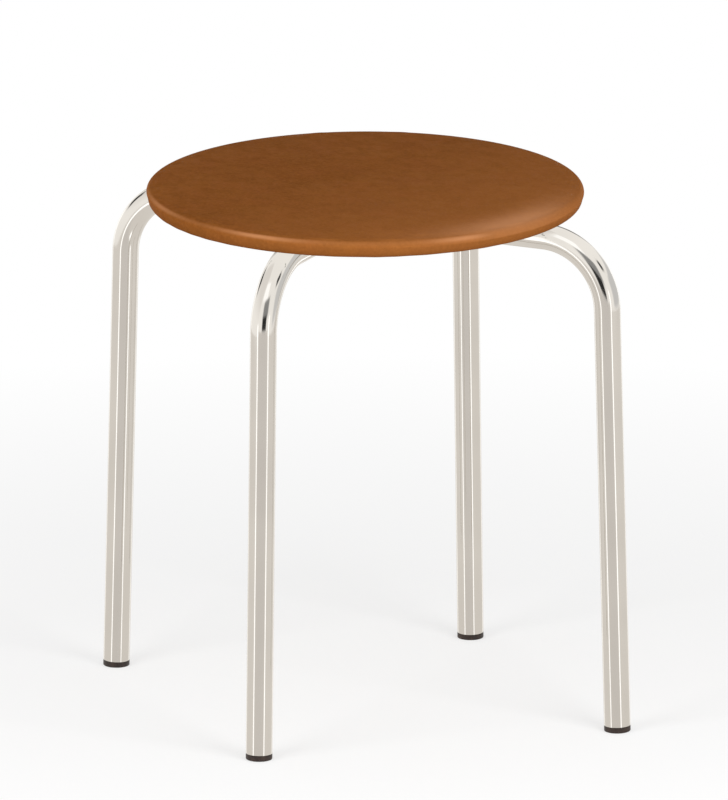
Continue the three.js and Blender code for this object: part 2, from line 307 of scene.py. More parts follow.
def leatherette():
    material, tree = new_material("caramel_leatherette")
    place = add_node(tree, "ShaderNodeTexCoord").outputs["Object"]
    grain_place = stretched(tree, place, (1, 1.25, 1), math.radians(25))
    cloud = noise(tree, place, 9, detail=3, roughness=0.5, distortion=0.3)
    warmth = noise(tree, grain_place, 27, detail=4, roughness=0.55)
    mottle = noise(tree, grain_place, 75, detail=5, roughness=0.62)
    grain = noise(tree, grain_place, 330, detail=3, roughness=0.6)
    cells = add_node(
        tree,
        "ShaderNodeTexVoronoi",
        {"Vector": place, "Scale": 850, "Randomness": 1.0},
        feature="DISTANCE_TO_EDGE",
    ).outputs["Distance"]
    crease_shade = spread(tree, cells, 0.0, 0.16, 1, 0)

    clouds = spread(tree, cloud, 0.34, 0.66, 0, 1)
    base = blend_colours(tree, clouds, linear(131, 77, 31), linear(141, 84, 35))
    base = blend_colours(tree, spread(tree, warmth, 0.38, 0.64, 0, 0.5), base, linear(137, 77, 35))
    base = blend_colours(tree, spread(tree, mottle, 0.4, 0.66, 0, 0.52), base, linear(116, 67, 27))
    base = blend_colours(tree, spread(tree, grain, 0.42, 0.66, 0, 0.42), base, linear(154, 95, 45))
    # Painted shade in the creases between the pebbled cells.
    base = blend_colours(tree, spread(tree, crease_shade, 0.0, 1.0, 0, 0.16), base, linear(88, 47, 19))
    # Painted sheen: the colour is drawn paler towards the side of the soft shoulder.
    across = add_node(
        tree,
        "ShaderNodeVectorMath",
        {0: place, 1: soft_side},
        operation="DOT_PRODUCT",
    ).outputs["Value"]
    painted_sheen_side = spread(tree, across, -0.2 * seat_radius, seat_radius, 0, 0.3)
    base = blend_colours(tree, painted_sheen_side, base, linear(176, 112, 60))
    # Painted shade: the colour is darker low down on the edge, towards the underside.
    height = add_node(tree, "ShaderNodeSeparateXYZ", {"Vector": place}).outputs["Z"]
    painted_shade_low = spread(tree, height, seat_underside + 9 * mm, seat_underside, 0, 0.6)
    base = blend_colours(tree, painted_shade_low, base, linear(104, 60, 26))
    # Painted highlight: the colour is drawn paler along the rim where the mesh's attribute says.
    painted_highlight = add_node(tree, "ShaderNodeAttribute", attribute_name="painted_highlight").outputs["Fac"]
    base = blend_colours(tree, spread(tree, painted_highlight, 0, 1, 0, 0.7), base, linear(206, 145, 101))

    pebbles = bump(tree, spread(tree, cells, 0.0, 0.3, 0, 1), 0.07 * mm)
    skin = bump(tree, grain, 0.05 * mm, normal=pebbles)
    finish_material(tree, {
        "Base Color": base,
        "Roughness": spread(tree, mottle, 0.35, 0.65, 0.44, 0.56),
        "Specular IOR Level": 0.002,
        "Normal": skin,
    })
    return material


# %% [markdown]
# ### Chrome
#
# Chrome plate on drawn and polished tube. Polishing runs round the tube, so its fine lines spread a
# reflection along the tube: that is the anisotropy, whose tangent follows the tube through the UV
# map. The tube was drawn through a die before, which leaves very long, very shallow lines along it;
# they break the reflections into narrow bands. Each ring stores where it is round the tube, so that
# these lines meet at the seam. Near the feet the plate is a little dull from handling.

# %% Chrome
def chrome():
    material, tree = new_material("chromed_tube")
    around = add_node(tree, "ShaderNodeAttribute", attribute_name="around").outputs["Vector"]
    place = add_node(tree, "ShaderNodeTexCoord").outputs["Object"]
    along_uv = add_node(tree, "ShaderNodeTangent", direction_type="UV_MAP", uv_map="UVMap")
    tangent = along_uv.outputs["Tangent"]
    drawn = noise(tree, stretched(tree, around, (1, 1, 0.006)), 420, detail=2, roughness=0.5)
    haze = noise(tree, stretched(tree, around, (1, 1, 0.2)), 90, detail=3, roughness=0.6)
    tone = noise(tree, place, 18, detail=2)
    height = add_node(tree, "ShaderNodeSeparateXYZ", {"Vector": place}).outputs["Z"]
    handled = add_node(
        tree,
        "ShaderNodeMath",
        {0: spread(tree, height, 0.02, 0.12, 1, 0), 1: spread(tree, haze, 0.48, 0.68, 0, 1)},
        operation="MULTIPLY",
    ).outputs[0]
    tones = spread(tree, tone, 0.3, 0.7, 0, 1)
    base = blend_colours(tree, tones, linear(211, 208, 203), linear(217, 214, 209))
    base = blend_colours(tree, spread(tree, handled, 0, 1, 0, 0.5), base, linear(176, 168, 158))
    plate = add_node(
        tree,
        "ShaderNodeMath",
        {0: spread(tree, haze, 0.35, 0.7, 0.07, 0.12), 1: spread(tree, handled, 0, 1, 0, 0.12)},
        operation="ADD",
    ).outputs[0]
    finish_material(tree, {
        "Base Color": base,
        "Metallic": 1.0,
        "Roughness": plate,
        "Anisotropic": 0.7,
        "Tangent": tangent,
        "Normal": bump(tree, drawn, 0.004 * mm),
    })
    return material


# %% [markdown]
# ### The hidden and the small finishes
#
# Zinc plate on the fasteners is a cool grey with a faint spangle. The plugs and the saddle washers
# are black nylon with the fine sparkle of a moulded skin. Plywood shows its face grain below, and the
# foam is an open sponge.

# %% Zinc plated steel
def zinc_steel():
    material, tree = new_material("zinc_plated_steel")
    place = add_node(tree, "ShaderNodeTexCoord").outputs["Object"]
    spangle = noise(tree, place, 700, detail=3)
    tarnish = noise(tree, place, 120, detail=2)
    spangles = spread(tree, spangle, 0.35, 0.65, 0, 1)
    base = blend_colours(tree, spangles, linear(168, 170, 172), linear(198, 199, 196))
    base = blend_colours(tree, spread(tree, tarnish, 0.5, 0.7, 0, 0.5), base, linear(176, 168, 140))
    finish_material(tree, {
        "Base Color": base,
        "Metallic": 1.0,
        "Roughness": spread(tree, spangle, 0.35, 0.65, 0.26, 0.42),
        "Normal": bump(tree, spangle, 0.01 * mm),
    })
    return material


# %% Black nylon and the plugs' black polyethylene
def black_plastic(name, colour, worn, roughness):
    material, tree = new_material(name)
    place = add_node(tree, "ShaderNodeTexCoord").outputs["Object"]
    skin = noise(tree, place, 1600, detail=2)
    patches = noise(tree, place, 160, detail=3)
    base = blend_colours(tree, spread(tree, patches, 0.4, 0.7, 0, 1), colour, worn)
    finish_material(tree, {
        "Base Color": base,
        "Roughness": spread(tree, patches, 0.35, 0.65, roughness - 0.08, roughness + 0.08),
        "Specular IOR Level": 0.4,
        "Normal": bump(tree, skin, 0.03 * mm),
    })
    return material


# %% Plywood
def plywood():
    material, tree = new_material("birch_plywood")
    place = add_node(tree, "ShaderNodeTexCoord").outputs["Object"]
    fibre_place = stretched(tree, place, (0.05, 1, 1))
    figure = noise(tree, stretched(tree, place, (0.12, 1, 1)), 55, detail=4, roughness=0.55, distortion=0.8)
    fibre = noise(tree, fibre_place, 900, detail=3, roughness=0.6)
    pores = noise(tree, fibre_place, 2600, detail=1)
    figures = spread(tree, figure, 0.35, 0.65, 0, 1)
    base = blend_colours(tree, figures, linear(214, 184, 140), linear(196, 160, 112))
    base = blend_colours(tree, spread(tree, fibre, 0.4, 0.7, 0, 0.45), base, linear(170, 130, 84))
    base = blend_colours(tree, spread(tree, pores, 0.62, 0.72, 0, 0.6), base, linear(120, 84, 50))
    finish_material(tree, {
        "Base Color": base,
        "Roughness": spread(tree, fibre, 0.35, 0.65, 0.62, 0.78),
        "Specular IOR Level": 0.3,
        "Normal": bump(tree, fibre, 0.06 * mm),
    })
    return material


# %% Foam
def foam():
    material, tree = new_material("cream_foam")
    place = add_node(tree, "ShaderNodeTexCoord").outputs["Object"]
    pores = add_node(tree, "ShaderNodeTexVoronoi", {"Vector": place, "Scale": 1100}).outputs["Distance"]
    yellowing = noise(tree, place, 14, detail=3)
    yellowed = spread(tree, yellowing, 0.35, 0.65, 0, 1)
    base = blend_colours(tree, yellowed, linear(236, 226, 196), linear(222, 204, 158))
    # Painted shade in the sponge's open pores, as dark spots.
    base = blend_colours(tree, spread(tree, pores, 0.0, 0.35, 0.55, 0), base, linear(150, 130, 92))
    finish_material(tree, {
        "Base Color": base,
        "Roughness": 0.95,
        "Specular IOR Level": 0.1,
        "Normal": bump(tree, pores, 0.3 * mm),
    })
    return material


# %% All the finishes
leatherette_finish = leatherette()
chrome_finish = chrome()
zinc_finish = zinc_steel()
nylon_finish = black_plastic("black_nylon", linear(30, 28, 28), linear(46, 43, 42), 0.45)
plug_finish = black_plastic("black_plug_plastic", linear(34, 25, 22), linear(58, 46, 40), 0.55)
plywood_finish = plywood()
foam_finish = foam()
print("finishes", len(bpy.data.materials))

# %% [markdown]
# ## The seat
#
# The seat is a thin pad on a board. Its outline, from below: a margin that is turned under the
# board, the small round of the hem, a side that pulls in slightly below, the shoulder and a shallow
# crown. The shoulder isn't the same all round: the sheet is pulled tight over most of the rim, and
# rolls more softly where it gave way. So the outline is a function of the direction too. Shoulder and
# crown come from one function, which the cover and the foam under it share.

# %% The outline of the seat, all round
crown_rise = 2 * mm
crown_flat_radius = 30 * mm
hem_radius = 5 * mm
draw_in = 1.2 * mm
margin_width = 31 * mm
margin_inner = seat_radius - margin_width
tight_shoulder = 5 * mm
soft_shoulder = 7 * mm
soft_drop = 0.4 * mm
soft_spread = math.radians(52)


def turn_between(angles, place):
    """The difference of two directions, held between minus and plus half a turn."""
    return (angles - place + math.pi) % (2 * math.pi) - math.pi


def bell(difference, width):
    """exp(-(difference / width)^2)"""
    return np.exp(-((difference / width) ** 2))


def softness(angles):
    """How soft the shoulder is in a direction, from 0 to 1: a bell about the soft direction."""
    return bell(turn_between(angles, soft_direction), soft_spread)


def crown_grid(angles, inset, lowest):
    """Radius and height of the shoulder and the crown, moved inwards by inset, for each outline point
    and direction. The shoulder is an arc that starts at the lowest height, or at its side where that
    is lower still. The crown is edge + rise * (1 - share^3), where share runs from 0 at the flat
    middle to 1 at the shoulder."""
    soft = softness(angles)[None, :]
    shoulder = tight_shoulder + (soft_shoulder - tight_shoulder) * soft
    edge_height = stool_top - crown_rise - soft_drop * soft
    shoulder_centre = seat_radius - shoulder
    first_turn = np.arcsin(np.clip((lowest - edge_height + shoulder) / (shoulder - inset), 0, 1))
    shoulder_turn = first_turn + (math.pi / 2 - first_turn) * np.linspace(0, 1, 11)[:, None]
    crown_radius = (1 - np.linspace(0, 1, 27)[1:, None] ** 1.6) * shoulder_centre
    curve_share = np.clip((crown_radius - crown_flat_radius) / (shoulder_centre - crown_flat_radius), 0, 1)
    radius = np.vstack([shoulder_centre + (shoulder - inset) * np.cos(shoulder_turn), crown_radius])
    height = np.vstack([
        edge_height - shoulder + (shoulder - inset) * np.sin(shoulder_turn),
        edge_height + (stool_top - edge_height) * (1 - curve_share**3) - inset,
    ])
    return radius, height


def cover_grid(angles, inset):
    """Radius and height of the whole cover: the margin, the hem's arc, the shoulder and the crown."""
    around = np.zeros(len(angles))
    hem_centre = seat_radius - draw_in - hem_radius
    margin = np.linspace(margin_inner, hem_centre, 9)[:-1, None] + around
    hem_turn = np.radians(np.linspace(-90, 0, 8))[:, None] + around
    crown_radius, crown_height = crown_grid(angles, inset, seat_underside)
    radius = np.vstack([margin, hem_centre + (hem_radius - inset) * np.cos(hem_turn), crown_radius])
    height = np.vstack([
        seat_underside + inset + 0 * margin,
        seat_underside + hem_radius + (hem_radius - inset) * np.sin(hem_turn),
        crown_height,
    ])
    return radius, height


# %% [markdown]
# ### Pleats
#
# A round cover has more sheet at its rim than its turned-under margin has room for, so the margin
# lies in small pleats that run towards the middle, and they pucker the hem a little. They are flat
# where the tubes pass, and stand proud only below the board.

# %% Pleats of the margin
pleat_count = 46
pleat_depth = 0.8 * mm
pucker_depth = 0.1 * mm
gathered_hem = 1.2 * mm
tube_clearance = math.radians(9)
pleat_draw = np.random.default_rng(7)
pleat_spacing = 2 * math.pi / pleat_count
pleat_places = (np.arange(pleat_count) + pleat_draw.uniform(-0.28, 0.28, pleat_count)) * pleat_spacing
pleat_sizes = pleat_draw.uniform(0.35, 1.0, pleat_count)
pleat_widths = np.radians(pleat_draw.uniform(0.9, 1.9, pleat_count))


def pleats(angles):
    """The sum of one narrow bell per pleat, size * bell(direction - place), kept off the tubes."""
    difference = turn_between(angles[:, None], pleat_places[None, :])
    bells = (pleat_sizes * bell(difference, pleat_widths)).sum(axis=1)
    from_tube = np.abs((angles + math.pi / 4) % (math.pi / 2) - math.pi / 4)
    return bells * np.clip((from_tube - tube_clearance) / math.radians(4), 0, 1)


# %% [markdown]
# ### The cover
#
# The cover starts a little too small, as a sheet with its margin pinned, and a cloth simulation blows it up
# against its own stretching. That rounds the crown, fills the shoulder and draws the hem over its pleats.
# How far a point may move is capped, so that the seat keeps its size. Solidify then gives the sheet its
# thickness, and one subdivision smooths it. The sheet also stores where highlights are painted on it, which
# the leatherette reads as a paler tone.

# %% Simulate a sheet that is blown up
def vertex_values(mesh, name):
    """One vector for each vertex: its place (co) or the way that it faces (normal)."""
    values = np.empty(3 * len(mesh.vertices))
    mesh.vertices.foreach_get(name, values)
    return values.reshape(-1, 3)


def inflate(piece, pinned, pressure, frames, most_movement):
    """Runs the cloth from frame 1 and reads where each vertex went. What counts is the move along the
    vertex's own normal, outwards only, because the foam and the board hold the sheet from behind. It
    levels off towards the cap as cap * tanh(move / cap)."""
    group = piece.vertex_groups.new(name="pinned")
    group.add(np.flatnonzero(pinned).tolist(), 1.0, "REPLACE")
    cloth = piece.modifiers.new("cloth", "CLOTH")
    cloth.settings.quality = 6
    cloth.settings.mass = 0.3
    cloth.settings.tension_stiffness = 40
    cloth.settings.compression_stiffness = 40
    cloth.settings.shear_stiffness = 20
    cloth.settings.bending_stiffness = 2
    cloth.settings.use_pressure = True
    cloth.settings.uniform_pressure_force = pressure
    cloth.settings.vertex_group_mass = "pinned"
    cloth.settings.effector_weights.gravity = 0
    cloth.collision_settings.use_collision = False
    cloth.point_cache.frame_start = 1
    cloth.point_cache.frame_end = frames
    scene = bpy.context.scene
    for frame_number in range(1, frames + 1):
        scene.frame_set(frame_number)
    blown = piece.evaluated_get(bpy.context.evaluated_depsgraph_get()).data
    start, outwards = vertex_values(piece.data, "co"), vertex_values(piece.data, "normal")
    distance = np.maximum(((vertex_values(blown, "co") - start) * outwards).sum(axis=1, keepdims=True), 0)
    capped = start + outwards * most_movement * np.tanh(distance / most_movement)
    piece.modifiers.remove(cloth)
    piece.vertex_groups.clear()
    scene.frame_set(1)
    piece.data.vertices.foreach_set("co", capped.ravel())
    piece.data.update()
    mean, most = (round(float(value) / mm, 2) for value in (distance.mean(), distance.max()))
    print(piece.name, "moved", mean, "mm, most", most)


# %% [markdown]
# ### Painted highlights on the rim
#
# The rim's highlights are painted into the leatherette's colour as a paler tone. A weight painted by hand
# could say where, but a formula is the same each time: a fine ridge along the rim, stronger at a few
# places, and one wide soft band where the shoulder is soft.

# %% Where highlights are painted on the rim
ridge_share = 0.1
# Places, widths and strengths of the highlight painted along the ridge, and of its wide painted band where
# the shoulder is soft.
ridge_highlight_places = np.radians([-134.4, -93.4, -37.4, 75.6, 175.6])
ridge_highlight_spreads = np.radians([12, 11, 8, 22, 18])
ridge_highlight_shares = np.array([0.45, 0.66, 0.66, 0.66, 0.66])
roll_highlight_share = 0.9
roll_place, roll_spread = math.radians(-17.4), math.radians(23)
roll_inset, roll_inner_width, roll_outer_width = 10 * mm, 19 * mm, 8 * mm


def rim_highlight(x, y, slope):
    """How strong the painted highlight on the rim is, from 0 to 1: the larger of two values. A thin
    highlight is painted along the ridge, a little all round and more at a few places: ridge * (ridge_share
    + sum of share * bell(direction - place)). Where the shoulder is soft, a wide band of painted highlight
    is added too: share * bell(radius - band) * bell(direction - place)."""
    direction = np.arctan2(y, x)
    from_highlight_place = turn_between(direction[:, None], ridge_highlight_places)
    ridge = np.clip((0.97 - slope) / 0.17, 0, 1) * np.clip((slope - 0.2) / 0.4, 0, 1)
    ridge_highlight = ridge_share + (ridge_highlight_shares * bell(from_highlight_place, ridge_highlight_spreads)).sum(axis=1)
    inside = seat_radius - roll_inset - np.hypot(x, y)
    width = np.where(inside > 0, roll_inner_width, roll_outer_width)
    sideways = bell(turn_between(direction, roll_place), roll_spread)
    roll = roll_highlight_share * bell(inside, width) * sideways * (slope > 0)
    return np.clip(np.maximum(ridge * ridge_highlight, roll), 0, 1)


# %% The cover itself
cover_sides = 192
cover_thickness = 1 * mm
start_inset = 0.4 * mm
cloth_cap = 0.6 * mm
cloth_pressure = 4
cloth_frames = 20
sway_depth = 0.25 * mm

angles = np.arange(cover_sides) * 2 * math.pi / cover_sides
radius, height = cover_grid(angles, start_inset)
below = np.clip((seat_underside + hem_radius - height) / hem_radius, 0, 1)
fold = pleats(angles)[None, :]
margin_share = np.clip((radius - margin_inner) / margin_width, 0, 1)
pleat_shape = fold * below * margin_share**0.5 * (1 - margin_share**4)
height = height - pleat_depth * pleat_shape - start_inset * below
height = height - gathered_hem * below * np.clip((margin_share - 0.45) / 0.4, 0, 1)
radius = radius + pucker_depth * fold * below * (1 - below) * 4
reach = np.clip(radius / (seat_radius - soft_shoulder), 0, 1)
sway = np.sin(3 * angles + 1.1) * np.sin(5.2 * reach) + np.sin(5 * angles + 0.4) * reach**2
height = height + sway_depth * sway * (1 - reach**4) * (1 - below)
cover_points = around_axis(radius, height, angles)
cover_mesh = surface("seat_cover_sheet", cover_points, columns_wrap=True, sharp_degrees=180)
cover = add_piece("seat_cover_leatherette", cover_mesh, leatherette_finish, "leatherette", "seat_cover")
cover_places, cover_normals = vertex_values(cover_mesh, "co"), vertex_values(cover_mesh, "normal")
# The strength of the highlight painted on the rim, kept on the mesh for the leatherette.
cover_highlight = rim_highlight(cover_places[:, 0], cover_places[:, 1], cover_normals[:, 2])
cover_mesh.attributes.new("painted_highlight", "FLOAT", "POINT").data.foreach_set("value", cover_highlight)
inflate(cover, cover_places[:, 2] < seat_underside + 1.5 * mm, cloth_pressure, cloth_frames, cloth_cap)
shell = cover.modifiers.new("thickness", "SOLIDIFY")
shell.thickness = cover_thickness
shell.offset = -1
smooth = cover.modifiers.new("smooth", "SUBSURF")
smooth.levels = smooth.render_levels = 1
cover.visible_glossy = False
print("cover", len(cover_mesh.polygons), "faces")

# %% [markdown]
# ### Foam and board
#
# The foam fills the crown under the cover. It is the same surface, moved inwards, and closed by a
# flat bottom on the board. The board keeps its solid, whose rim the cover hides; its face shows
# between the legs from below.

# %% Foam
foam_thickness = 4 * mm
foam_inset = cover_thickness + fit_gap + start_inset
foam_bottom = stool_top - cover_thickness - fit_gap - foam_thickness
foam_angles = np.arange(96) * 2 * math.pi / 96
dome_radius, dome_height = crown_grid(foam_angles, foam_inset, foam_bottom)
flat_radius = np.linspace(0, 1, 12)[:-1, None] * dome_radius[0]
foam_radius = np.vstack([flat_radius, dome_radius])
foam_height = np.vstack([foam_bottom + 0 * flat_radius, dome_height])
foam_mesh = surface("seat_pad", around_axis(foam_radius, foam_height, foam_angles), columns_wrap=True)
pad = add_piece("seat_pad_foam", foam_mesh, foam_finish, "foam", "seat_foam")
pad.visible_glossy = False

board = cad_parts["seat_board"]
board.visible_glossy = False
board.data.materials.clear()
board.data.materials.append(plywood_finish)
print("foam", len(foam_mesh.polygons), "faces")

# %% [markdown]
# ## The hoops
#
# Each hoop is one tube: up a leg, round the bend, along under the seat and down again. Where the two
# cross, each is pressed to half its height, one upwards and one downwards, so that both runs stay
# level. The section changes by a smooth step from a round one to a flattened one. The outer skin and
# the inner skin are one closed surface that turns over at the tube's ends.

# %% The path of a hoop
pressed_width = 28 * mm
pressed_height = tube_radius - fit_gap / 2
pressed_half_length = 17 * mm
press_run_out = 24 * mm
tube_end = 4.9 * mm
bend_steps = 44
press_steps = 18
bolt_ring_reach = 9 * mm


def hoop_path(foot_radius):
    """Along, height, lean and pressing of the tube's middle line, from one foot to the other. The bend
    is an arc about a point below the run: centre + bend_radius * (cos, sin) of the lean."""
    centre_height = run_height - bend_radius
    top_of_leg = centre_height + bend_radius * math.sin(leg_lean)
    centre_along = foot_radius - top_of_leg * math.tan(leg_lean) - bend_radius * math.cos(leg_lean)
    foot = np.array([foot_radius - tube_end * math.sin(leg_lean), tube_end * math.cos(leg_lean)])
    top = np.array([centre_along + bend_radius * math.cos(leg_lean), top_of_leg])
    leg = foot + np.linspace(0, 1, 13)[:-1, None] * (top - foot)
    lean = np.linspace(leg_lean, math.pi / 2, bend_steps + 1)
    bend_centre = np.array([centre_along, centre_height])
    bend = bend_centre + bend_radius * np.stack([np.cos(lean), np.sin(lean)], axis=1)
    press_start = pressed_half_length + press_run_out
    run = np.concatenate([
        np.linspace(centre_along, bolt_circle + bolt_ring_reach, 4)[1:],
        np.linspace(bolt_circle + bolt_ring_reach, bolt_circle - bolt_ring_reach, 14)[1:],
        np.linspace(bolt_circle - bolt_ring_reach, press_start, 4)[1:-1],
    ])
    share = np.linspace(0, 1, press_steps + 1)
    pressed = press_start - press_run_out * share
    middle = np.array([pressed_half_length / 2])
    level = np.concatenate([run, pressed, middle])
    along = np.concatenate([leg[:, 0], bend[:, 0], level])
    height = np.concatenate([leg[:, 1], bend[:, 1], np.full(len(level), run_height)])
    angle = np.concatenate([np.full(len(leg), leg_lean), lean, np.full(len(level), math.pi / 2)])
    press = np.concatenate([np.zeros(len(leg) + len(bend) + len(run)), 3 * share**2 - 2 * share**3, [1]])
    return (
        np.concatenate([along, [0], -along[::-1]]),
        np.concatenate([height, [run_height], height[::-1]]),
        np.concatenate([angle, [math.pi / 2], math.pi - angle[::-1]]),
        np.concatenate([press, [1], press[::-1]]),
    )


# %% The hoops as closed tubes
tube_sides = 64


def hoop_skin(path, wall, pressed_up):
    """The rings of the skin that lies a wall's thickness inside the tube's outside."""
    along, path_height, lean, press = path
    half_across = tube_radius + (pressed_width / 2 - tube_radius) * press - wall
    half_out = tube_radius + (pressed_height / 2 - tube_radius) * press - wall
    shift = pressed_up * press * (tube_radius - pressed_height / 2)
    return rings(along, path_height, lean, half_across, half_out, 2 + 2 * press, shift, tube_sides)


def hoop_mesh(name, foot_radius, pressed_up, turn):
    """Outer rings, then inner rings back again, joined into one closed surface."""
    path = hoop_path(foot_radius)
    steps = np.hypot(np.diff(path[0]), np.diff(path[1]))
    path_length = np.concatenate([[0], np.cumsum(steps)])
    print(name, "tube length", round(float(path_length[-1]), 3), "m in", len(path_length), "rings")
    points = np.concatenate([hoop_skin(path, 0, pressed_up), hoop_skin(path, tube_wall, pressed_up)[::-1]])
    points = rotated(points[:, ::-1], turn)
    there_and_back = np.concatenate([path_length, path_length[::-1], path_length[:1]])
    round_it = np.arange(tube_sides + 1) * 2 * math.pi * tube_radius / tube_sides
    mesh = surface(name, points, rows_wrap=True, columns_wrap=True, lengths=(there_and_back, round_it))
    turn_angle = (np.arange(tube_sides)[::-1] + 0.5) * 2 * math.pi / tube_sides
    around = np.empty((2 * len(path_length), tube_sides, 3))
    around[..., 0] = tube_radius * np.cos(turn_angle)
    around[..., 1] = tube_radius * np.sin(turn_angle)
    around[..., 2] = there_and_back[:-1, None]
    return mesh, points, around


def keep_place_round_tube(mesh, points, around):
    """Stores each vertex's place round and along the tube, found again by its coordinates."""
    order = np.round(points.reshape(-1, 3) / weld_distance).astype(np.int64)
    _, first = np.unique(order, axis=0, return_index=True)
    attribute = mesh.attributes.new("around", "FLOAT_VECTOR", "POINT")
    attribute.data.foreach_set("vector", around.reshape(-1, 3)[first].ravel())


# %% Holes for the bolts and the rivet
bolt_hole_radius = 3.3 * mm
rivet_hole_radius = 4.3 * mm
hole_reach = tube_radius + 2 * mm


def cut_holes(piece, turn):
    """Takes three upright bars away from the tube: two for its bolts and one for the rivet."""
    bars = []
    low, high = run_height - hole_reach, run_height + hole_reach
    holes = ((bolt_circle, bolt_hole_radius), (-bolt_circle, bolt_hole_radius), (0, rivet_hole_radius))
    for place, hole_radius in holes:
        points = turned([(0, low), (hole_radius, low), (hole_radius, high), (0, high)], 32)
        bar_mesh = surface("bar", rotated(points + (place, 0, 0), turn), columns_wrap=True)
        bars.append(bpy.data.objects.new("bar", bar_mesh))
    for bar in bars:
        bpy.context.scene.collection.objects.link(bar)
        cutter = piece.modifiers.new("hole", "BOOLEAN")
        cutter.object = bar
        cutter.operation = "DIFFERENCE"
        cutter.solver = "EXACT"
    evaluated = piece.evaluated_get(bpy.context.evaluated_depsgraph_get())
    drilled = bpy.data.meshes.new_from_object(evaluated)
    piece.modifiers.clear()
    piece.data = drilled
    for bar in bars:
        bpy.data.objects.remove(bar)


for name, foot_radius, pressed_up, turn in (
    ("leg_hoop_x", foot_radius_x, 1, 0),
    ("leg_hoop_y", foot_radius_y, -1, math.pi / 2),
):
    mesh, points, around = hoop_mesh(name + "_tube", foot_radius, pressed_up, turn)
    keep_place_round_tube(mesh, points, around)
    hoop = add_piece(name + "_chrome", mesh, chrome_finish, "chromed_tube", name)
    cut_holes(hoop, turn)
    print(hoop.name, len(hoop.data.polygons), "faces")

# %% [markdown]
# ## Fasteners
#
# Four button head screws go up through saddle washers and the tube into tee nuts in the board. The
# screw's head is a grid whose inner rings follow a hexagon, which makes the key's socket, and whose
# outer rings are round. Its thread is a ridge that climbs one pitch in each turn.

# %% Seat bolts
bolt_radius = 3 * mm
bolt_length = 35 * mm
head_radius = 6 * mm
head_height = 3.6 * mm
head_flat_radius = 4 * mm
socket_width = 4 * mm
socket_depth = 2.2 * mm
thread_pitch = 1 * mm
thread_depth = 0.55 * mm
thread_length = 24 * mm
saddle_base = 1.5 * mm
saddle_bottom = run_height - tube_radius - fit_gap - saddle_base
bolt_seat = saddle_bottom - fit_gap
bolt_sides = 48


def hexagon_radius(angles, width):
    """Distance from the middle to the side of a hexagon: half its width over the cosine of the angle
    to the nearest side's middle."""
    return width / 2 / np.cos((angles % (math.pi / 3)) - math.pi / 6)


def bolt_points():
    """Rings of a button head screw, from the socket's floor, over the head and up the thread."""
    angles = np.arange(bolt_sides) * 2 * math.pi / bolt_sides
    hexagon = hexagon_radius(angles, socket_width)
    head_bottom = bolt_seat - head_height
    socket = [
        (0 * hexagon, head_bottom + socket_depth + 0.4 * mm),
        (hexagon * 0.9, head_bottom + socket_depth),
        (hexagon, head_bottom + socket_depth - 0.1 * mm),
        (hexagon, head_bottom + 0.25 * mm),
        (hexagon + 0.25 * mm, head_bottom),
    ]
    dome_turn = np.radians(np.linspace(0, 90, 9))
    dome = [
        (
            head_flat_radius + (head_radius - head_flat_radius) * math.sin(turn),
            head_bottom + head_height * 0.62 * (1 - math.cos(turn)),
        )
        for turn in dome_turn
    ]
    shoulder = [
        (head_radius, bolt_seat - 0.3 * mm),
        (head_radius - 0.3 * mm, bolt_seat),
        (bolt_radius + 0.3 * mm, bolt_seat),
        (bolt_radius, bolt_seat + 0.3 * mm),
    ]
    thread_start = bolt_seat + bolt_length - thread_length
    thread_height = np.linspace(thread_start, bolt_seat + bolt_length - 0.6 * mm, 190)
    phase = (thread_height[:, None] / thread_pitch - angles / (2 * math.pi)) % 1
    run_out = np.clip((thread_height[:, None] - thread_start) / (2 * thread_pitch), 0, 1)
    thread = bolt_radius - thread_depth * run_out * (1 - np.abs(2 * phase - 1))
    tip = [
        (bolt_radius - 0.7 * mm, bolt_seat + bolt_length),
        (0, bolt_seat + bolt_length),
    ]
    head = socket + dome + shoulder
    radius = np.vstack([
        *(part[0] + 0 * angles for part in head),
        thread,
        *(part[0] + 0 * angles for part in tip),
    ])
    height = np.concatenate([[part[1] for part in head], thread_height, [part[1] for part in tip]])
    return around_axis(radius, height[:, None], angles)


# %% Saddle washers
saddle_radius = 8 * mm
saddle_wing = 2 * mm
saddle_edge = 0.4 * mm


def saddle_points():
    """A ring whose top follows the underside of the tube, run_height - sqrt(r^2 - y^2), and is cut off
    level where that would stand too high."""
    sides = 64
    level_top = saddle_bottom + saddle_base + saddle_wing
    outline = np.array([
        (bolt_hole_radius, saddle_bottom),
        (saddle_radius - saddle_edge, saddle_bottom),
        (saddle_radius, saddle_bottom + saddle_edge),
        (saddle_radius, level_top - saddle_edge),
        (saddle_radius - saddle_edge, level_top),
        (saddle_radius * 0.82, level_top),
        (saddle_radius * 0.68, level_top),
        (saddle_radius * 0.54, level_top),
        (bolt_hole_radius, level_top),
    ])
    points = turned([outline], sides)
    under_tube = run_height - np.sqrt((tube_radius + fit_gap) ** 2 - points[..., 1] ** 2)
    points[3:, :, 2] = np.minimum(points[3:, :, 2], under_tube[3:])
    return points


# %% Tee nuts, in the top of the board
board_top = foam_bottom - fit_gap
tee_flange_radius = 9.5 * mm
tee_flange_thickness = 1.2 * mm
tee_barrel_radius = 4.2 * mm
tee_barrel_length = 7.5 * mm
tee_edge = 0.25 * mm


def tee_nut_points():
    """A barrel with a flange on top, as a closed ring outline turned about the bolt."""
    barrel_bottom = board_top - tee_barrel_length
    flange_bottom = board_top + fit_gap / 2
    flange_top = flange_bottom + tee_flange_thickness
    return turned([
        (bolt_hole_radius, barrel_bottom + tee_edge),
        (bolt_hole_radius + tee_edge, barrel_bottom),
        (tee_barrel_radius, barrel_bottom),
        (tee_barrel_radius, flange_bottom),
        (tee_flange_radius - tee_edge, flange_bottom),
        (tee_flange_radius, flange_bottom + tee_edge),
        (tee_flange_radius - tee_edge, flange_top),
        (bolt_hole_radius + tee_edge, flange_top),
        (bolt_hole_radius, flange_top - tee_edge),
    ], 48)


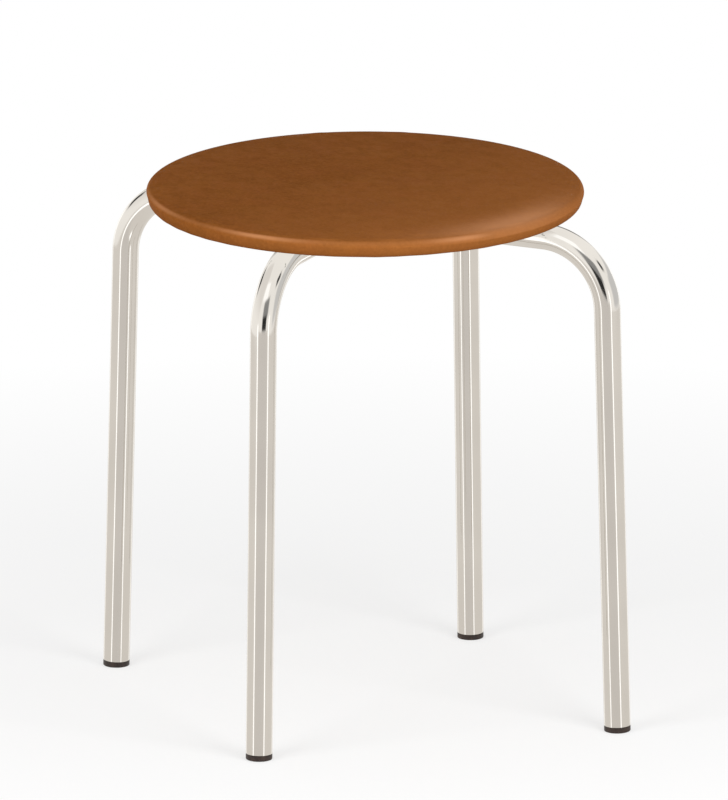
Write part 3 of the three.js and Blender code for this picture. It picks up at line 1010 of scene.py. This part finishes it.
# %% One of each on every arm
for place, turn in enumerate(arm_turns, start=1):
    number = f"{place:02d}"
    shift = (bolt_circle, 0, 0)
    bolt = surface("bolt_" + number, rotated(bolt_points() + shift, turn), columns_wrap=True)
    add_piece("seat_bolt_fine_" + number, bolt, zinc_finish, "zinc_steel", "seat_bolt_" + number)
    saddle_place = rotated(saddle_points() + shift, turn)
    saddle = surface("saddle_" + number, saddle_place, rows_wrap=True, columns_wrap=True)
    saddle_node = "saddle_washer_" + number
    add_piece("saddle_washer_fine_" + number, saddle, nylon_finish, "black_nylon", saddle_node)
    nut_place = rotated(tee_nut_points() + shift, turn)
    nut = surface("nut_" + number, nut_place, rows_wrap=True, columns_wrap=True)
    add_piece("tee_nut_fine_" + number, nut, zinc_finish, "zinc_steel", "tee_nut_" + number)
print("fasteners on", len(arm_turns), "arms")

# %% The rivet through the crossing
rivet_radius = 4 * mm
rivet_head_radius = 7 * mm
rivet_upper_head = 1 * mm
rivet_lower_head = 2.6 * mm
rivet_low = run_height - tube_radius - fit_gap
rivet_high = run_height + tube_radius + fit_gap
dome = np.radians(np.linspace(0, 90, 10))
rivet = turned([
    np.stack([rivet_head_radius * np.sin(dome), rivet_low - rivet_lower_head * np.cos(dome)], axis=1),
    (rivet_radius, rivet_low),
    (rivet_radius, rivet_high),
    (rivet_head_radius, rivet_high),
    (rivet_head_radius, rivet_high + rivet_upper_head - 0.3 * mm),
    (rivet_head_radius - 0.3 * mm, rivet_high + rivet_upper_head),
    (0, rivet_high + rivet_upper_head),
], 48)
rivet_mesh = surface("rivet", rivet, columns_wrap=True)
add_piece("crossing_rivet_fine", rivet_mesh, zinc_finish, "zinc_steel", "crossing_rivet")
print("rivet", len(rivet_mesh.polygons), "faces")

# %% [markdown]
# ### Staples
#
# A staple is one length of flat wire: up a leg, across and down the other, with small bends between.
# The wire is carried along that path, and its ends are ground to a point.

# %% Staples
staple_count = 20
staple_width = 10 * mm
staple_wire = 1 * mm
staple_leg = 6 * mm
staple_inset = 12 * mm
staple_bend = 0.9 * mm
point_length = 1.4 * mm


def staple_points():
    """The wire's rings: down one leg, round a bend, along the crown and back up. The last rings at
    both ends shrink to a point."""
    half = (staple_width - staple_wire) / 2
    crown_height = seat_underside - fit_gap - staple_wire / 2
    tip_height = seat_underside - fit_gap - staple_wire + staple_leg
    turn = np.radians(np.linspace(0, -90, 6))
    side = np.concatenate([[half] * 4, half - staple_bend + staple_bend * np.cos(turn)])
    rise = np.concatenate([
        tip_height - point_length * np.array([0, 0.5, 1, 2]),
        crown_height + staple_bend + staple_bend * np.sin(turn),
    ])
    lean = np.concatenate([[0] * 4, turn])
    size = np.concatenate([[0, 0.6, 1, 1], np.ones(len(turn))]) * staple_wire / 2
    side = np.concatenate([side, -side[::-1]])
    rise = np.concatenate([rise, rise[::-1]])
    lean = np.concatenate([lean, -math.pi - lean[::-1]])
    size = np.concatenate([size, size[::-1]])
    wire = rings(side, rise, lean, size, size, 4, 0, 12)
    return np.stack([margin_inner + staple_inset + wire[..., 1], wire[..., 0], wire[..., 2]], axis=-1)


for place in range(staple_count):
    number = f"{place + 1:02d}"
    turn = (place + 0.5) * 2 * math.pi / staple_count
    mesh = surface("staple_wire_" + number, rotated(staple_points()[:, ::-1], turn), columns_wrap=True)
    add_piece("staple_fine_" + number, mesh, zinc_finish, "zinc_steel", "staple_" + number)
print("staples", staple_count)

# %% [markdown]
# ### Foot plugs
#
# A plug has a head as wide as the tube and a ribbed spigot inside it. It leans with its leg and is
# flat where it stands on the floor.

# %% Foot plugs
plug_head = 4.6 * mm
plug_edge = 1 * mm
spigot_length = 20 * mm
spigot_wall = 2 * mm
rib_radius = tube_radius - tube_wall - fit_gap
spigot_radius = rib_radius - 0.7 * mm
rib_places = (plug_head + 6 * mm, plug_head + 12 * mm)
rib_height = 1.6 * mm
plug_floor = 3 * mm


def plug_points(foot_radius):
    """The plug's outline turned, leant by the leg's angle and cut off level with the floor."""
    trim = tube_radius * math.tan(leg_lean)
    spigot_top = plug_head + spigot_length
    rib_outline = np.array([
        (spigot_radius, 0),
        (rib_radius, 0.2 * mm),
        (rib_radius, 0.5 * mm),
        (spigot_radius, rib_height),
    ])
    ribs = [rib_outline + (0, low) for low in rib_places]
    upright = turned([
        (0, -trim),
        (tube_radius - 2 * plug_edge, -trim),
        arc((tube_radius - plug_edge, plug_edge - trim), plug_edge, -90, 0, 6),
        arc((tube_radius - 0.3 * mm, plug_head - 0.3 * mm), 0.3 * mm, 0, 90, 3),
        (spigot_radius, plug_head),
        *ribs,
        (spigot_radius, spigot_top - 0.8 * mm),
        (spigot_radius - 0.8 * mm, spigot_top),
        (spigot_radius - spigot_wall, spigot_top),
        (spigot_radius - spigot_wall, plug_floor),
        (0, plug_floor),
    ], 64)
    cos, sin = math.cos(leg_lean), math.sin(leg_lean)
    x, y, z = np.moveaxis(upright, -1, 0)
    leant = np.stack([cos * x - sin * z + foot_radius, y, sin * x + cos * z], axis=-1)
    leant[..., 2] = np.maximum(leant[..., 2], 0)
    return leant


for place, turn in enumerate(arm_turns, start=1):
    number = f"{place:02d}"
    foot_radius = foot_radius_x if place % 2 else foot_radius_y
    mesh = surface("plug_" + number, rotated(plug_points(foot_radius), turn), columns_wrap=True)
    add_piece("foot_plug_fine_" + number, mesh, plug_finish, "black_plug", "foot_plug_" + number)
print("plugs", len(arm_turns))

# %% [markdown]
# ## The studio
#
# The stool stands on a plain white floor in a white room. The floor glows white to the camera, and
# only a part of it takes light, which is where the soft shadow shows. Seen from below it is clear, so
# that the underside can be looked at. The room is white to the camera, a little warmer to the chrome,
# and gives a dimmer, even light to everything else.

# %% The floor
floor_radius = 6.0
floor_drop = 0.2 * mm
floor_share = 0.4
shadow_reach = 1.1


def floor_material():
    material, tree = new_material("white_floor")
    place = add_node(tree, "ShaderNodeTexCoord").outputs["Object"]
    from_middle = add_node(tree, "ShaderNodeVectorMath", {0: place}, operation="LENGTH").outputs["Value"]
    taking_light = spread(tree, from_middle, 0.35 * shadow_reach, shadow_reach, floor_share, 0)
    matt = add_node(tree, "ShaderNodeBsdfDiffuse", {"Color": (0.94, 0.94, 0.94, 1)}).outputs[0]
    glow = add_node(tree, "ShaderNodeEmission", {"Strength": 1.0}).outputs[0]
    lit = add_node(tree, "ShaderNodeMixShader", {0: taking_light, 1: glow, 2: matt}).outputs[0]
    path = add_node(tree, "ShaderNodeLightPath")
    diffuse_ray = path.outputs["Is Diffuse Ray"]
    plain = add_node(tree, "ShaderNodeMixShader", {0: diffuse_ray, 1: lit, 2: matt}).outputs[0]
    clear = add_node(tree, "ShaderNodeBsdfTransparent").outputs[0]
    below = add_node(tree, "ShaderNodeNewGeometry").outputs["Backfacing"]
    shown = add_node(tree, "ShaderNodeMixShader", {0: below, 1: plain, 2: clear}).outputs[0]
    add_node(tree, "ShaderNodeOutputMaterial", {"Surface": shown})
    return material


floor_rings = np.concatenate([[0], np.geomspace(0.05, floor_radius, 24)])
floor_angles = np.arange(96) * 2 * math.pi / 96
floor_points = around_axis(floor_rings[:, None], -floor_drop, floor_angles)
floor_mesh = surface("floor_disc", floor_points, columns_wrap=True)
floor_mesh.flip_normals()
floor_mesh.materials.append(floor_material())
floor = bpy.data.objects.new("floor", floor_mesh)
bpy.context.scene.collection.objects.link(floor)

# %% The room
room_light = 0.55
mirrored_room = 1.2
white, warm_white = (1, 1, 1, 1), (1, 0.98, 0.95, 1)
world = bpy.data.worlds.new("white_room")
world.use_nodes = True
world.node_tree.nodes.clear()
bpy.context.scene.world = world
room = world.node_tree
path = add_node(room, "ShaderNodeLightPath")
mixed = add_node(room, "ShaderNodeBackground", {"Color": white, "Strength": room_light}).outputs[0]
shown_rooms = (
    ("Is Camera Ray", white, 1.0),
    ("Is Transmission Ray", white, 1.0),
    ("Is Glossy Ray", warm_white, mirrored_room),
)
for ray, colour, strength in shown_rooms:
    shown = add_node(room, "ShaderNodeBackground", {"Color": colour, "Strength": strength}).outputs[0]
    mixed = add_node(room, "ShaderNodeMixShader", {0: path.outputs[ray], 1: mixed, 2: shown}).outputs[0]
add_node(room, "ShaderNodeOutputWorld", {"Surface": mixed})


# %% [markdown]
# ## Lamps and cards
#
# Two large soft lamps stand at the front, low down, so that the side of the seat is brighter than its
# top. The chrome sees neither of them, nor the floor: it sees plain cards, as in a studio for shiny
# things. A leg mirrors what lies below the horizon, which is the beige of a wide table card, with two
# bright strips that make the thin lines down the tube. The bends mirror what lies above it: dark
# cards for the streaks, grey and pale ones for the walls.

# %% Soft lamps
def from_camera(turn, rise, distance, centre_height):
    """A place at an angle beside the camera's direction and above the horizon, in degrees."""
    azimuth = view_azimuth + math.radians(turn)
    elevation = math.radians(rise)
    direction = Vector((
        math.sin(azimuth) * math.cos(elevation),
        -math.cos(azimuth) * math.cos(elevation),
        math.sin(elevation),
    ))
    return direction * distance + Vector((0, 0, centre_height)), direction


def add_lamp(name, turn, rise, distance, width, length, power):
    """A rectangular lamp that faces the seat."""
    spot, direction = from_camera(turn, rise, distance, 0.35)
    data = bpy.data.lights.new(name, "AREA")
    data.shape = "RECTANGLE"
    data.size, data.size_y, data.energy = width, length, power
    lamp = bpy.data.objects.new(name, data)
    lamp.location = spot
    lamp.rotation_mode = "QUATERNION"
    lamp.rotation_quaternion = direction.to_track_quat("Z", "Y")
    lamp.visible_glossy = False
    bpy.context.scene.collection.objects.link(lamp)


add_lamp("front_left_lamp", -45, 18, 1.8, 1.0, 1.2, 15)
add_lamp("front_right_lamp", 40, 18, 1.8, 1.0, 1.2, 19)


# %% Cards that only the shiny surfaces see
card_eye_height = 0.38


def card_material(name, colour, strength, edge):
    """A glow that fades out towards the edges, over a share of the card's width and height."""
    material, tree = new_material(name)
    place = add_node(tree, "ShaderNodeTexCoord").outputs["UV"]
    sides = add_node(tree, "ShaderNodeSeparateXYZ", {"Vector": place})
    shares = []
    for axis in ("X", "Y"):
        folded = add_node(
            tree,
            "ShaderNodeMath",
            {0: sides.outputs[axis], 1: 0.5},
            operation="PINGPONG",
        ).outputs[0]
        shares.append(spread(tree, folded, 0, edge / 2, 0, 1))
    inside = add_node(tree, "ShaderNodeMath", {0: shares[0], 1: shares[1]}, operation="MULTIPLY").outputs[0]
    glow = add_node(tree, "ShaderNodeEmission", {"Color": (*colour, 1), "Strength": strength}).outputs[0]
    clear = add_node(tree, "ShaderNodeBsdfTransparent").outputs[0]
    faded = add_node(tree, "ShaderNodeMixShader", {0: inside, 1: clear, 2: glow}).outputs[0]
    add_node(tree, "ShaderNodeOutputMaterial", {"Surface": faded})
    material.cycles.emission_sampling = "NONE"
    return material


def add_card(name, sideways, heights, distance, strength, edge=0.2, colour=(1, 1, 1)):
    """An upright card that faces the stool. It is given by the angles it spans, seen from the bends:
    sideways from the camera's direction, and above or below the horizon."""
    middle = (sideways[0] + sideways[1]) / 2
    spot, direction = (np.array(vector) for vector in from_camera(middle, 0, distance, card_eye_height))
    half_width = distance * math.tan(math.radians(sideways[1] - sideways[0]) / 2)
    across = np.array((-direction[1], direction[0], 0)) * half_width
    rise = np.tan(np.radians(heights))[:, None, None] * np.array((0, 0, distance))
    corners = spot + np.array([-1, 1])[None, :, None] * across + rise
    mesh = surface(name, corners, lengths=([0, 1], [0, 1]))
    mesh.materials.append(card_material(name, colour, strength, edge))
    stage_card(name, mesh)


def stage_card(name, mesh):
    """Puts a card in the studio, where nothing but a reflection shows it."""
    card = bpy.data.objects.new(name, mesh)
    bpy.context.scene.collection.objects.link(card)
    card.visible_camera = False
    card.visible_diffuse = False
    card.visible_shadow = False
    card.visible_transmission = False


table_drop = 2.4
table_radius = 14
table_points = around_axis(np.linspace(0, table_radius, 3)[:, None], -table_drop, floor_angles[::2])
table_mesh = surface("table_card", table_points, columns_wrap=True)
table_material, table_tree = new_material("table_card")
table_light = {"Color": (1, 0.955, 0.9, 1), "Strength": 0.91}
table_glow = add_node(table_tree, "ShaderNodeEmission", table_light).outputs[0]
add_node(table_tree, "ShaderNodeOutputMaterial", {"Surface": table_glow})
table_material.cycles.emission_sampling = "NONE"
table_mesh.materials.append(table_material)
stage_card("table_card", table_mesh)
add_card("left_strip", (-54, -46), (-30, 4), 2.9, 1.75, 0.1)
add_card("right_strip", (33, 41), (-30, 9), 2.35, 1.75, 0.1)
add_card("back_left_strip", (-148, -140), (-30, 4), 2.9, 1.75, 0.1)
add_card("back_right_strip", (140, 148), (-30, 4), 2.9, 1.75, 0.1)
add_card("grey_floor_card", (-44, 31), (-32, -4), 3.1, 0.82, 0.15, (1, 0.955, 0.91))
add_card("floor_glint", (2, 18), (-42, -33), 2.8, 1.8, 0.3)
add_card("dark_kit", (-20, 18), (-6, 16), 2.6, 0.03, 0.35)
add_card("grey_kit", (-22, 27), (8, 38), 2.7, 0.34, 0.4)
add_card("top_softbox", (-42, 6), (32, 62), 2.8, 1.5, 0.25)
add_card("left_wall_card", (-132, -44), (6, 74), 3.6, 1.02, 0.3, (1, 0.965, 0.93))
add_card("right_flag", (52, 76), (29, 44), 2.6, 0.06, 0.4)
add_card("right_wall_card", (62, 150), (-12, 28), 3.3, 0.8, 0.3)
add_card("left_back_flag", (-142, -116), (8, 26), 3.0, 0.05, 0.4)
add_card("back_flag", (150, 210), (4, 36), 3.4, 0.3, 0.4)
floor.visible_glossy = False
